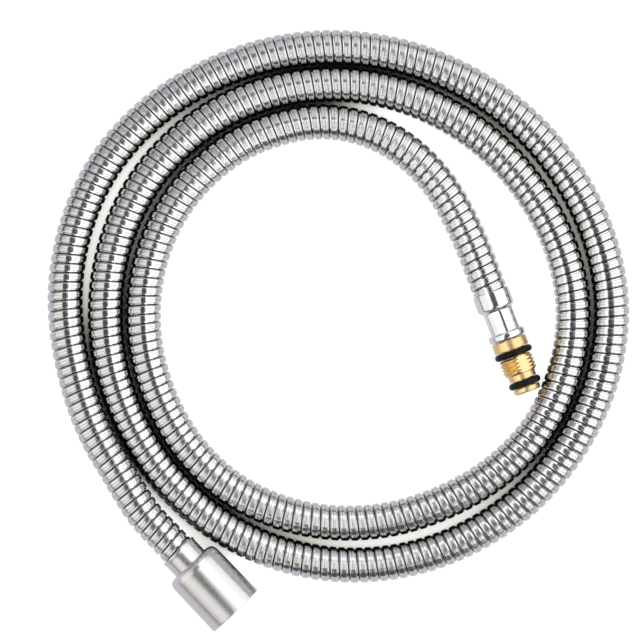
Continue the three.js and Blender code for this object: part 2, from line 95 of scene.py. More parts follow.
# the free ends: place, and share of the climb from the turns to the fitting's axis
NUT_BEND = [(-112.9, -6.0, 0.98), (-111.4, 2.0, 0.93), (-109.1, 12.0, 0.82)]
NUT_RUN = [(-105.9, 26.0, 0.62), (-101.9, 37.2, 0.45), (-93.4, 53.9, 0.2)]
SPIGOT_RUN = [(30.1, 66.7, 0.1), (40.5, 60.4, 0.25), (49.4, 51.9, 0.4), (56.3, 41.3, 0.55)]
SPIGOT_BEND = [
    (60.6, 29.7, 0.7), (62.3, 18.0, 0.82), (62.0, 6.7, 0.92), (59.9, -4.2, 0.98), (56.9, -14.2, 1),
]
STRAIGHT_LENGTH = 14.5
STRAIGHT_POINTS = 3
SHEATH_ENTRY = 4.0               # how far the sheath goes into the nut's ferrule
SLEEVE_ENTRY = 2.0               # and into the hexagon's sleeve

# the barbed tails, inside the rubber tube at both ends
TAIL_RADIUS = 3.0
TAIL_WALL = 0.8
TAIL_TIP = -4.0                  # along the fitting's axis from its rim at the hose
BARB_COUNT = 4
BARB_LENGTH = 2.4
BARB_DEPTH = 0.3

# ferrule, insert, glide ring and washer at the nut end
FERRULE_LENGTH = 13.0
FERRULE_END_WALL = 1.2
FERRULE_RADIUS = 7.657
FERRULE_BORE = 7.15
LIP_RADIUS = 7.9
LIP_LENGTH = 1.2
GLIDE_RING_THICKNESS = 1.3
GLIDE_RING_WIDTH = 1.1
FLANGE_THICKNESS = 2.0
WASHER_THICKNESS = 2.4
WASHER_HOLE_RADIUS = 5.0

# the nut and its inside thread
NUT_BACK = 7.2                   # how much of the ferrule is bare behind the nut
NUT_LENGTH = 26.0
NUT_WALL = 1.24                  # outside the thread's grooves, at the rear
NUT_FLARE = 0.22                 # how much the radius grows towards the mouth
PIPE_THREAD_BORE = 9.3
PIPE_THREAD_DEPTH = 1.16
PIPE_THREAD_PITCH = 1.814
PIPE_THREAD_TURNS = 6
MOUTH_MARGIN = 0.2               # how far the mouth opens past the thread's root

# the chrome ferrule at the spigot end
SLEEVE_RADIUS = 7.407
SLEEVE_BORE = 7.1
SLEEVE_LENGTH = 6.5
SLEEVE_TAPER = 1.6               # length of the taper between the sleeve and the hexagon
BORE_TAPER = 0.5                 # how much the sleeve's bore narrows at its end
BORE_TAPER_LENGTH = 1.0
HEX_LENGTH = 8.7
HEX_FLAT = 5.62                  # half across the flats
HEX_CORNER = 6.05                # radius of the round bar that the hexagon is cut from
HEX_SKIN = 0.2                   # what lies further inside the flats is the ferrule's bore
HEX_TURN = 11.0                  # degrees that the upper corner leans
FLAT_BLEND = 40.0                # the flats meet the round more softly where this is low
FLAT_START = 8.0                 # from the axis to a flat where it begins, clear of the sleeve
FLAT_RUN_OUT = 6.1               # where the flats begin, along the axis
BEAD_LENGTH = 3.2
BEAD_RADIUS = 7.45

# the brass spigot and its seal rings
COLLAR_LENGTH = 3.9
COLLAR_RADIUS = 7.05
THREAD_LENGTH = 6.7
THREAD_RADIUS = 6.9
THREAD_DEPTH = 0.82
THREAD_PITCH = 1.5
THREAD_RUN_OUT = 0.8             # length over which the thread's ends fade
MILLED_DEPTH = 0.9               # from the thread's crest down to the flat that is cut across it
MILLED_TURN = -22                # degrees that the flat leans from straight up
FLAT_FACING = 0.3                # the least cosine at which it is reckoned, far outside the thread
NECK_LENGTH = 2.6
NECK_RADIUS = 5.5
NOSE_LENGTH = 2.1
NOSE_RADIUS = 5.35
SEAL_SECTION = 1.35              # radius of a seal ring's section
SEAL_POINTS = 28
COLLAR_SEAL_RADIUS = 7.75
NOSE_SEAL_RADIUS = 6.6

# ---------------------------------------------------------------- sizes that follow

# radii
WATER_RADIUS = TAIL_RADIUS - TAIL_WALL
TAIL_HOLE = TAIL_RADIUS + CLEARANCE
NUT_HOLE = FERRULE_RADIUS + CLEARANCE
FLANGE_RADIUS = NUT_HOLE + GLIDE_RING_WIDTH
NUT_BORE = FLANGE_RADIUS + CLEARANCE
NUT_REAR_RADIUS = PIPE_THREAD_BORE + PIPE_THREAD_DEPTH + NUT_WALL
NUT_MOUTH_RADIUS = NUT_REAR_RADIUS + NUT_FLARE
THREAD_ROOT = THREAD_RADIUS - THREAD_DEPTH
MILLED_FLAT = THREAD_RADIUS - MILLED_DEPTH
COLLAR_GROOVE = COLLAR_SEAL_RADIUS - 2 * SEAL_SECTION - CLEARANCE
NOSE_GROOVE = NOSE_SEAL_RADIUS - 2 * SEAL_SECTION - CLEARANCE

# places along the nut's axis from the ferrule's rim at the hose; the route begins at NUT_DEPTH
NUT_DEPTH = FERRULE_LENGTH - FERRULE_END_WALL - CLEARANCE
FLANGE_BACK = FERRULE_LENGTH + CLEARANCE
FLANGE_FRONT = FLANGE_BACK + FLANGE_THICKNESS
WASHER_BACK = FLANGE_FRONT + CLEARANCE
WASHER_FRONT = WASHER_BACK + WASHER_THICKNESS
NUT_SHOULDER = FLANGE_BACK - GLIDE_RING_THICKNESS - 2 * CLEARANCE
NUT_MOUTH = NUT_BACK + NUT_LENGTH
PIPE_THREAD_END = NUT_MOUTH - PIPE_THREAD_TURNS * PIPE_THREAD_PITCH

# places along the spigot's axis from the sleeve's rim at the hose; the route ends at SPIGOT_DEPTH
SPIGOT_DEPTH = SLEEVE_LENGTH - CLEARANCE
HEX_BACK = SLEEVE_LENGTH + SLEEVE_TAPER
BEAD_BACK = HEX_BACK + HEX_LENGTH
BEAD_FRONT = BEAD_BACK + BEAD_LENGTH
COLLAR_BACK = BEAD_FRONT + CLEARANCE
COLLAR_FRONT = COLLAR_BACK + COLLAR_LENGTH
GROOVE_WIDTH = 2 * (SEAL_SECTION + CLEARANCE)
THREAD_BACK = COLLAR_FRONT + GROOVE_WIDTH
THREAD_FRONT = THREAD_BACK + THREAD_LENGTH
NECK_FRONT = THREAD_FRONT + NECK_LENGTH
NOSE_BACK = NECK_FRONT + GROOVE_WIDTH
NOSE_FRONT = NOSE_BACK + NOSE_LENGTH

# ---------------------------------------------------------------- view and studio

# the photograph's view, in millimetres: straight down, turned so that this heading is up
VIEW_HEADING = -43.7
VIEW_CENTRE = (-2.02, 0.946)
VIEW_WIDTH = 254.4
VIEW_DISTANCE = 1900.0
VIEW_LEVEL = 7.0                 # height at which the view is as wide as that
VIEW_SENSOR = 36.0
VIEW_CLIP = (0.05, 20.0)         # in metres

# the studio, in metres
PANEL_HEIGHT = 1.5               # of the wide lamp panels
STRIP_HEIGHT = 0.165             # of the two narrow ones over the middle
FLOOR_HALF = 3.0                 # half the sheet's side
STRIP_REACH = 0.007              # how near a surface has to be to paint shade on the strip
FLOOR_REACH = 0.05               # and on the sheet
FLOOR_SAMPLES = 48
PLAIN_LIGHT = (1, 1, 1)
WARM_LIGHT = (1, 0.985, 0.965)
COOL_LIGHT = (0.97, 0.97, 1)

# the lamp panels: between which places across and up the photograph, how high, how bright
PANELS = {
    "right_panel": ((0.53, 3.0), (-1.70, 1.60), PANEL_HEIGHT, 1.45, PLAIN_LIGHT),
    "right_corner_panel": ((1.70, 3.0), (-3.0, -1.70), PANEL_HEIGHT, 1.45, PLAIN_LIGHT),
    "right_upper_panel": ((1.2, 3.0), (1.60, 3.4), PANEL_HEIGHT, 1.2, PLAIN_LIGHT),
    "right_inner_panel": ((0.20, 0.53), (0.25, 1.0), PANEL_HEIGHT, 1.2, PLAIN_LIGHT),
    "right_end_panel": ((3.0, 24.0), (-6.0, 9.0), PANEL_HEIGHT, 1.45, PLAIN_LIGHT),
    "left_panel": ((-3.0, -0.53), (-2.70, 0.66), PANEL_HEIGHT, 1.08, WARM_LIGHT),
    "left_end_panel": ((-24.0, -3.0), (-5.5, 0.66), PANEL_HEIGHT, 1.08, WARM_LIGHT),
    "far_panel": ((-4.0, -0.7), (0.80, 14.0), PANEL_HEIGHT, 0.44, COOL_LIGHT),
    "far_middle_panel": ((-0.7, 0.53), (1.0, 24.0), PANEL_HEIGHT, 0.82, COOL_LIGHT),
    "far_right_panel": ((0.53, 1.2), (1.60, 24.0), PANEL_HEIGHT, 0.82, COOL_LIGHT),
    "upper_strip": ((-0.03, 0.03), (-0.024, 0.125), STRIP_HEIGHT, 1.2, PLAIN_LIGHT),
    "lower_strip": ((-0.03, 0.03), (-0.181, -0.034), STRIP_HEIGHT, 1.2, PLAIN_LIGHT),
}

# how the eye sees the sheet: painted shade where turns of the hose close it in, white where open
SHEET_STOPS = [
    (0.11, (0.004, 0.004, 0.004)), (0.14, (0.46, 0.44, 0.39)), (0.17, (0.74, 0.72, 0.66)),
    (0.22, (1.05, 1.05, 1.05)),
]

# ---------------------------------------------------------------- meshes from grids


def make_piece(name, points, triangles, values=None, normals=None):
    """A mesh object at the origin from points in millimetres and rows of three corner numbers."""
    mesh = bpy.data.meshes.new(name)
    mesh.from_pydata(points * MM, [], triangles)
    mesh.shade_smooth()
    if normals is None:
        mesh.set_sharp_from_angle(angle=math.radians(SHARP_ANGLE))
    else:
        mesh.normals_split_custom_set_from_vertices(normals)
    for key, numbers in (values or {}).items():
        mesh.attributes.new(key, "FLOAT", "POINT").data.foreach_set("value", numbers)
    piece = bpy.data.objects.new(name, mesh)
    bpy.context.scene.collection.objects.link(piece)
    return piece


def grid_triangles(numbers):
    """Two triangles for each cell of a grid of point numbers, with the first axis first."""
    a, b = numbers[:-1, :-1], numbers[1:, :-1]
    c, d = numbers[1:, 1:], numbers[:-1, 1:]
    both = np.stack([np.stack([a, b, c], -1), np.stack([a, c, d], -1)], -2)
    return both.reshape(-1, 3)


def ring_torus(name, points):
    """A closed piece from points[angle, place on the outline], where both ways close on themselves."""
    turns, places = points.shape[:2]
    numbers = np.arange(turns * places).reshape(turns, places)
    numbers = np.pad(numbers, ((0, 1), (0, 1)), mode="wrap")
    return make_piece(name, points.reshape(-1, 3), grid_triangles(numbers))


def outline(corners, spacing=1.0):
    """A closed line of (radius, place) from corners (radius, place, rounding).

    A corner is cut back by its rounding on both sides, and the cut is bridged by the quadratic
    curve that the corner steers. Long straight stretches then get points a spacing apart.
    """
    line = []
    count = len(corners)
    bend = np.linspace(0, 1, CORNER_POINTS)[:, None]
    for i, (radius, place, rounding) in enumerate(corners):
        corner = np.array([radius, place])
        before = np.array(corners[i - 1][:2]) - corner
        after = np.array(corners[(i + 1) % count][:2]) - corner
        if rounding:
            start = corner + before * rounding / np.linalg.norm(before)
            end = corner + after * rounding / np.linalg.norm(after)
            line.extend((1 - bend) ** 2 * start + 2 * bend * (1 - bend) * corner + bend**2 * end)
        else:
            line.append(corner)
    line = np.array(line)
    ahead = np.roll(line, -1, axis=0)
    steps = np.maximum(1, np.ceil(np.linalg.norm(ahead - line, axis=1) / spacing)).astype(int)
    which = np.repeat(np.arange(len(line)), steps)
    share = (np.arange(len(which)) - np.repeat(np.cumsum(steps) - steps, steps)) / steps[which]
    return line[which] + share[:, None] * (ahead - line)[which]


def wave(phase):
    """A thread's section: a triangle wave from 0 to 1 with its crest and root cut flat."""
    return np.clip(WAVE_STEEPNESS * (1 - np.abs(2 * (phase % 1) - 1)) - WAVE_ROOT, 0, 1)


def eased(value):
    """The smooth step 3t^2 - 2t^3 of a value held between 0 and 1."""
    t = np.clip(value, 0, 1)
    return t * t * (3 - 2 * t)


# ---------------------------------------------------------------- where the fittings are

nut_low, nut_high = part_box("swivel_nut")
sleeve_low, sleeve_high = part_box("hex_ferrule")
turns_middle = np.array([
    (nut_low.x + nut_high.x) / 2 / MM - NUT_RIM[0],
    nut_low.y / MM + NUT_MOUTH - NUT_RIM[1],
    0.0,
])
nut_height = (nut_low.z + nut_high.z) / 2 / MM
spigot_height = (sleeve_low.z + sleeve_high.z) / 2 / MM


class Fitting:
    """The place of a turned fitting: its axis points at the mouth, and its rim is the origin."""

    def __init__(self, rim, heading, height):
        turn = math.radians(heading)
        self.origin = np.array([*rim, height]) + turns_middle
        self.side = np.array([math.cos(turn), math.sin(turn), 0])
        self.axis = np.array([-math.sin(turn), math.cos(turn), 0])
        self.up = np.array([0.0, 0, 1])

    def place(self, radius, along, angle):
        """Points at a radius and a distance along the axis, at an angle from up towards the side."""
        across = radius * np.sin(angle)
        rise = radius * np.cos(angle)
        return (
            self.origin
            + across[..., None] * self.side
            + along[..., None] * self.axis
            + rise[..., None] * self.up
        )

    def turned(self, name, line, reshape=None, first=0.0):
        """A turned piece: the line (radius, place) carried round the axis from the first angle.

        reshape(radius, place, angle) may change the radius at each angle, as a flat or a
        thread does.
        """
        angle = first + np.linspace(0, 2 * math.pi, ROUND_STEPS, endpoint=False)
        angle, radius = np.meshgrid(angle, line[:, 0], indexing="ij")
        along = np.broadcast_to(line[:, 1], radius.shape)
        if reshape:
            radius = reshape(radius, along, angle)
        return ring_torus(name, self.place(radius, along, angle))


nut_end = Fitting(NUT_RIM, NUT_HEADING, nut_height)
spigot_end = Fitting(SPIGOT_RIM, SPIGOT_HEADING, spigot_height)

# ---------------------------------------------------------------- the hose's route


def turn_points():
    """Points of the loose turns, whose radius is a smooth curve through the turn lists.

    Between two values it is the cubic that has, at each of them, half the difference of that
    value's two neighbours as its slope.
    """
    radii = np.array(OUTER_TURN + MIDDLE_TURN + INNER_TURN)
    steps = (len(radii) - 1) * POINTS_PER_STEP
    place = np.arange(steps + 1) / POINTS_PER_STEP
    low = np.minimum(place.astype(int), len(radii) - 2)
    t = place - low
    held = np.pad(radii, (1, 2), mode="edge")
    p0, p1, p2, p3 = held[low], held[low + 1], held[low + 2], held[low + 3]
    radius = p1 + t * (p2 - p0) / 2
    radius += t**2 * (2 * p0 - 5 * p1 + 4 * p2 - p3) / 2
    radius += t**3 * (3 * p1 - p0 - 3 * p2 + p3) / 2
    angle = np.radians(FIRST_TURN_ANGLE - place * TURN_STEP)
    flat = np.stack([radius * np.cos(angle), radius * np.sin(angle)], 1)
    return np.column_stack([flat + turns_middle[:2], np.full(len(flat), HOSE_RADIUS)])


def climb_points(places, axis_height):
    """Points of a free end, which climbs from the turns to its fitting's axis."""
    places = np.array(places, float)
    height = HOSE_RADIUS + (axis_height - HOSE_RADIUS) * places[:, 2]
    return np.column_stack([places[:, :2] + turns_middle[:2], height])


def axis_points(fitting, depth):
    """Points on a fitting's axis, from inside it to the end of the straight stretch."""
    back = -STRAIGHT_LENGTH * np.arange(STRAIGHT_POINTS + 1) / STRAIGHT_POINTS
    return fitting.origin + np.concatenate([[depth], back])[:, None] * fitting.axis


def smooth_route(points):
    """Dense points of a smooth curve through the points.

    Between two points it is the cubic that leaves and meets each of them as the parabola through
    that point and its two neighbours does, where the parabola runs over each chord in a time as
    long as the chord.
    """
    before = 2 * points[0] - points[1]
    after = 2 * points[-1] - points[-2]
    held = np.vstack([before, points, after])
    p0, p1, p2, p3 = held[:-3], held[1:-2], held[2:-1], held[3:]
    d0, d1, d2 = (
        np.linalg.norm(b - a, axis=1)[:, None] for a, b in ((p0, p1), (p1, p2), (p2, p3))
    )
    start = d1 * ((p1 - p0) / d0 - (p2 - p0) / (d0 + d1) + (p2 - p1) / d1)
    end = d1 * ((p2 - p1) / d1 - (p3 - p1) / (d1 + d2) + (p3 - p2) / d2)
    t = np.linspace(0, 1, CURVE_POINTS, endpoint=False)[None, :, None]
    p1, p2, start, end = (v[:, None, :] for v in (p1, p2, start, end))
    curve = p1 + t * start + t**2 * (3 * (p2 - p1) - 2 * start - end)
    curve = curve + t**3 * (2 * (p1 - p2) + start + end)
    return np.vstack([curve.reshape(-1, 3), points[-1:]])


route = smooth_route(np.vstack([
    axis_points(nut_end, NUT_DEPTH),
    climb_points(NUT_BEND + NUT_RUN, nut_height),
    turn_points(),
    climb_points(SPIGOT_RUN + SPIGOT_BEND, spigot_height),
    axis_points(spigot_end, SPIGOT_DEPTH)[::-1],
]))
route_way = np.concatenate([[0], np.cumsum(np.linalg.norm(np.diff(route, axis=0), axis=1))])
route_length = route_way[-1]


def route_point(way):
    """The route's points at distances along it."""
    return np.stack([np.interp(way, route_way, route[:, k]) for k in range(3)], -1)


def on_route(way):
    """Centre, left and up vectors of the route at distances along it, with left kept level."""
    centre = route_point(way)
    along = route_point(way + HALF_CHORD) - route_point(way - HALF_CHORD)
    along /= np.linalg.norm(along, axis=-1, keepdims=True)
    left = np.cross([0.0, 0, 1], along)
    left /= np.linalg.norm(left, axis=-1, keepdims=True)
    return centre, left, np.cross(along, left)


def round_route(way, radius, angle):
    """Points at a radius round the route, at an angle from left towards up."""
    centre, left, up = on_route(way)
    across = (radius * np.cos(angle))[..., None]
    rise = (radius * np.sin(angle))[..., None]
    return centre + across * left + rise * up


# ---------------------------------------------------------------- the hose


def hose_sheath():
    """The wound strip and its bore as one closed surface, with the section's leans as its normals.

    A point of the strip is at step i of the winding and place k of the strip's section. Its
    angle is i / STRIP_STEPS turns, it lies i / STRIP_STEPS pitches plus the section's distance
    along the hose, and the section's depth below the crown. The last place of one turn is joined
    to the first place of the next. Past the sheath's ends the points are drawn back onto one ring,
    and what folds flat there is left out. Rings of the bore close the surface from inside.
    """
    first = NUT_DEPTH - SHEATH_ENTRY
    last = route_length - SPIGOT_DEPTH + SLEEVE_ENTRY
    pitch = (route_length - NUT_DEPTH - SPIGOT_DEPTH) / STRIP_TURNS
    section = np.array(STRIP_SECTION)
    turns = math.ceil((last - first) / pitch) + 2
    step = np.arange(turns * STRIP_STEPS + 1)
    way = first + (step[:, None] / STRIP_STEPS - 1) * pitch + section[:, 0]
    depth = np.broadcast_to(section[:, 1], way.shape)
    plain = section[:, 1].max()
    held = np.clip(way, first, last)
    shown = eased((held - first) / pitch) * eased((last - held) / pitch)
    depth = plain + (depth - plain) * shown
    angle = np.broadcast_to(2 * math.pi * step[:, None] / STRIP_STEPS, way.shape)
    strip = round_route(held, HOSE_RADIUS - depth, angle)
    _, left, up = on_route(held)
    outward = np.cos(angle)[..., None] * left + np.sin(angle)[..., None] * up
    lean = np.radians(section[:, 2] * shown)[..., None]
    facing = np.cos(lean) * outward + np.sin(lean) * np.cross(left, up)

    numbers = np.arange(way.size).reshape(way.shape)
    bore_rings = math.ceil((last - first) / BORE_RING_SPACING) + 1
    bore_way = np.repeat(np.linspace(first, last, bore_rings)[:, None], STRIP_STEPS, 1)
    bore_angle = 2 * math.pi * np.arange(STRIP_STEPS) / STRIP_STEPS
    bore_angle = np.broadcast_to(bore_angle, bore_way.shape)
    end_radius = np.full((2, STRIP_STEPS), HOSE_RADIUS - plain)
    ends = round_route(bore_way[[0, -1]], end_radius, bore_angle[:2])
    bore = round_route(bore_way, np.full(bore_way.shape, SHEATH_BORE_RADIUS), bore_angle)
    end_numbers = way.size + np.arange(2 * STRIP_STEPS).reshape(2, STRIP_STEPS)
    bore_numbers = way.size + end_numbers.size + np.arange(bore_way.size).reshape(bore_way.shape)

    ring_place = np.broadcast_to((step % STRIP_STEPS)[:, None], way.shape)
    numbers = np.where(way <= first, end_numbers[0][ring_place], numbers)
    numbers = np.where(way >= last, end_numbers[1][ring_place], numbers)
    next_turn = np.column_stack([numbers[:-STRIP_STEPS, -1], numbers[STRIP_STEPS:, 0]])
    closing = np.vstack([end_numbers[1], bore_numbers[::-1], end_numbers[0]]).T
    closing = np.vstack([closing, closing[:1]])
    triangles = np.vstack([
        grid_triangles(numbers), grid_triangles(next_turn), grid_triangles(closing),
    ])
    a, b, c = triangles.T
    triangles = triangles[(a != b) & (b != c) & (c != a)]

    points = np.vstack([strip.reshape(-1, 3), ends.reshape(-1, 3), bore.reshape(-1, 3)])
    inward = np.full(bore_way.shape, -1.0)
    bore_facing = round_route(bore_way, inward, bore_angle) - route_point(bore_way)
    normals = np.vstack([
        facing.reshape(-1, 3), -bore_facing[[0, -1]].reshape(-1, 3), bore_facing.reshape(-1, 3),
    ])
    hidden = np.full(end_numbers.size + bore_numbers.size, plain)
    across = np.broadcast_to(section[:, 0], way.shape)
    used, renumbered = np.unique(triangles, return_inverse=True)
    values = {
        "depth": np.concatenate([depth.ravel(), hidden])[used] / plain,
        "across": np.concatenate([across.ravel(), np.zeros_like(hidden)])[used],
    }
    sheath = make_piece(
        "hose_sheath", points[used], renumbered.reshape(-1, 3), values, normals[used],
    )
    path = route_point(np.linspace(first, last, PATH_POINTS)) * MM
    return sheath, path, (last - first) * MM


# ---------------------------------------------------------------- nut end


def barbed_tail():
    """Corners of a barbed tail from its tip to its root, as (radius, place, rounding)."""
    corners = [(WATER_RADIUS, TAIL_TIP, 0), (TAIL_RADIUS - BARB_DEPTH, TAIL_TIP, 0)]
    for barb in range(1, BARB_COUNT + 1):
        top = TAIL_TIP + barb * BARB_LENGTH
        corners.append((TAIL_RADIUS, top, 0))
        if barb < BARB_COUNT:
            corners.append((TAIL_RADIUS - BARB_DEPTH, top + BARB_DEPTH, 0))
    return corners


def neck_ferrule():
    """The satin neck: a tube with a small rolled lip at the hose and an end wall inside the nut."""
    return nut_end.turned("neck_ferrule", outline([
        (FERRULE_BORE, 0, 0.12),
        (LIP_RADIUS, 0, 0.3),
        (LIP_RADIUS, LIP_LENGTH, 0.2),
        (FERRULE_RADIUS, LIP_LENGTH, 0.1),
        (FERRULE_RADIUS, FERRULE_LENGTH, 0.3),
        (TAIL_HOLE, FERRULE_LENGTH, 0.1),
        (TAIL_HOLE, FERRULE_LENGTH - FERRULE_END_WALL, 0),
        (FERRULE_BORE, FERRULE_LENGTH - FERRULE_END_WALL, 0),
    ]))


def flanged_insert():
    """The brass insert that the nut pulls on: a barbed tail with a flange."""
    return nut_end.turned("flanged_insert", outline([
        *barbed_tail(),
        (TAIL_RADIUS, FLANGE_BACK, 0),
        (FLANGE_RADIUS, FLANGE_BACK, 0.2),
        (FLANGE_RADIUS, FLANGE_FRONT, 0.2),
        (WATER_RADIUS, FLANGE_FRONT, 0.3),
    ], spacing=3))


def seat_washer():
    """The flat rubber washer in the nut."""
    return nut_end.turned("seat_washer", outline([
        (WASHER_HOLE_RADIUS, WASHER_BACK, 0.2),
        (FLANGE_RADIUS, WASHER_BACK, 0.35),
        (FLANGE_RADIUS, WASHER_FRONT, 0.35),
        (WASHER_HOLE_RADIUS, WASHER_FRONT, 0.35),
    ]))


def cup_nut():
    """The cup nut: a round shoulder, a wall that flares to the mouth, and a wound inside thread.

    Inside, between the mouth and the thread's end, the radius grows by the thread's depth times
    its wave, whose phase moves one pitch a turn.
    """
    mouth_start = NUT_MOUTH - PIPE_THREAD_DEPTH - MOUTH_MARGIN

    def cut_thread(radius, along, angle):
        phase = along / PIPE_THREAD_PITCH - angle / (2 * math.pi)
        run = eased((along - PIPE_THREAD_END) / PIPE_THREAD_PITCH)
        inside = (radius < PIPE_THREAD_BORE + EDGE) & (along > PIPE_THREAD_END)
        return radius + np.where(inside, PIPE_THREAD_DEPTH * wave(phase) * run, 0)

    return nut_end.turned("cup_nut", outline([
        (NUT_HOLE, NUT_BACK, 0.15),
        (NUT_REAR_RADIUS, NUT_BACK, 3.4),
        (NUT_MOUTH_RADIUS, NUT_MOUTH, 0.35),
        (PIPE_THREAD_BORE + PIPE_THREAD_DEPTH + MOUTH_MARGIN, NUT_MOUTH, 0.15),
        (PIPE_THREAD_BORE, mouth_start, 0),
        (PIPE_THREAD_BORE, PIPE_THREAD_END, 0),
        (NUT_BORE, PIPE_THREAD_END - CHAMFER, 0),
        (NUT_BORE, NUT_SHOULDER, 0.2),
        (NUT_HOLE, NUT_SHOULDER, 0.15),
    ], spacing=0.12), cut_thread)


# ---------------------------------------------------------------- spigot end


def hexagon_sleeve():
    """The chrome ferrule: a plain sleeve, a taper, a soft hexagon and a round bead.

    Over the taper and the hexagon the radius is the soft minimum of the turned outline and the
    nearest flat: the sum of both to the power -FLAT_BLEND, to the power -1 / FLAT_BLEND. The
    flats slope out from FLAT_START at the sleeve's end to HEX_FLAT at the hexagon.
    """

    def cut_flats(radius, along, angle):
        from_corner = (angle + math.radians(HEX_TURN)) % (math.pi / 3)
        slope = eased((along - FLAT_RUN_OUT) / (HEX_BACK - FLAT_RUN_OUT))
        flat = (FLAT_START + (HEX_FLAT - FLAT_START) * slope) / np.cos(from_corner - math.pi / 6)
        outside = (radius > HEX_FLAT - HEX_SKIN) & (along > FLAT_RUN_OUT) & (along < BEAD_BACK + EDGE)
        soft = (radius**-FLAT_BLEND + flat**-FLAT_BLEND) ** (-1 / FLAT_BLEND)
        return np.where(outside, soft, radius)

    return spigot_end.turned("hexagon_sleeve", outline([
        (SLEEVE_BORE, 0, 0.06),
        (SLEEVE_RADIUS, 0, 0.2),
        (SLEEVE_RADIUS, SLEEVE_LENGTH, 0.7),
        (HEX_CORNER, HEX_BACK, 0.3),
        (HEX_CORNER, BEAD_BACK, 0),
        (BEAD_RADIUS, BEAD_BACK, 1.1),
        (BEAD_RADIUS, BEAD_FRONT, 1.3),
        (TAIL_HOLE, BEAD_FRONT, 0.1),
        (TAIL_HOLE, SLEEVE_LENGTH, 0),
        (SLEEVE_BORE - BORE_TAPER, SLEEVE_LENGTH, 0),
        (SLEEVE_BORE, SLEEVE_LENGTH - BORE_TAPER_LENGTH, 0),
    ], spacing=0.2), cut_flats, first=-math.radians(HEX_TURN))


def brass_spigot():
    """The brass spigot: barbed tail, collar, seal groove, wound thread, neck, groove and nose.

    Over the thread the radius grows by the thread's depth times its wave, and then no point
    stands above the flat that is milled across it.
    """

    def cut_thread(radius, along, angle):
        over = (radius > THREAD_ROOT - EDGE) & (along > THREAD_BACK - EDGE)
        over &= along < THREAD_FRONT + EDGE
        phase = along / THREAD_PITCH - angle / (2 * math.pi)
        run = eased((along - THREAD_BACK) / THREAD_RUN_OUT)
        run *= eased((THREAD_FRONT - along) / THREAD_RUN_OUT)
        threaded = radius + THREAD_DEPTH * wave(phase) * run
        facing = np.cos(angle - math.radians(MILLED_TURN))
        flat = MILLED_FLAT / np.maximum(facing, FLAT_FACING)
        return np.where(over, np.minimum(threaded, flat), radius)

    return spigot_end.turned("brass_spigot", outline([
        *barbed_tail(),
        (TAIL_RADIUS, COLLAR_BACK, 0),
        (COLLAR_RADIUS, COLLAR_BACK, 0.3),
        (COLLAR_RADIUS, COLLAR_FRONT, 0.3),
        (COLLAR_GROOVE, COLLAR_FRONT, 0),
        (COLLAR_GROOVE, THREAD_BACK, 0),
        (THREAD_ROOT, THREAD_BACK, 0.15),
        (THREAD_ROOT, THREAD_FRONT, 0.1),
        (NECK_RADIUS, THREAD_FRONT + CHAMFER, 0.1),
        (NECK_RADIUS, NECK_FRONT, 0.15),
        (NOSE_GROOVE, NECK_FRONT, 0),
        (NOSE_GROOVE, NOSE_BACK, 0),
        (NOSE_RADIUS, NOSE_BACK, 0.2),
        (NOSE_RADIUS, NOSE_FRONT, 0.9),
        (WATER_RADIUS, NOSE_FRONT, 0.3),
    ], spacing=0.18), cut_thread)


def seal_ring(name, outer_radius, place):
    """A rubber ring of round section: a circle carried round the spigot's axis."""
    turn = np.linspace(0, 2 * math.pi, SEAL_POINTS, endpoint=False)
    line = np.stack([
        outer_radius - SEAL_SECTION + SEAL_SECTION * np.sin(turn),
        place - SEAL_SECTION * np.cos(turn),
    ], 1)
    return spigot_end.turned(name, line)


# ---------------------------------------------------------------- materials


class Wire:
    """A value in a material. Arithmetic on it adds Math nodes."""

    def __init__(self, recipe, socket):
        self.recipe = recipe
        self.socket = socket

    def maths(self, operation, *values):
        """The result of a Math node on values."""
        return self.recipe.node("ShaderNodeMath", {"operation": operation}, dict(enumerate(values)))

    def __add__(self, other):
        return self.maths("ADD", self, other)

    def __rsub__(self, other):
        return self.maths("SUBTRACT", other, self)

    def __mul__(self, other):
        return self.maths("MULTIPLY", self, other)

    __radd__ = __add__
    __rmul__ = __mul__

    def within(self, low, high):
        """The smooth step from 0 at low to 1 at high."""
        return self.recipe.node(
            "ShaderNodeMapRange",
            {"interpolation_type": "SMOOTHSTEP"},
            {0: self, 1: low, 2: high},
        )


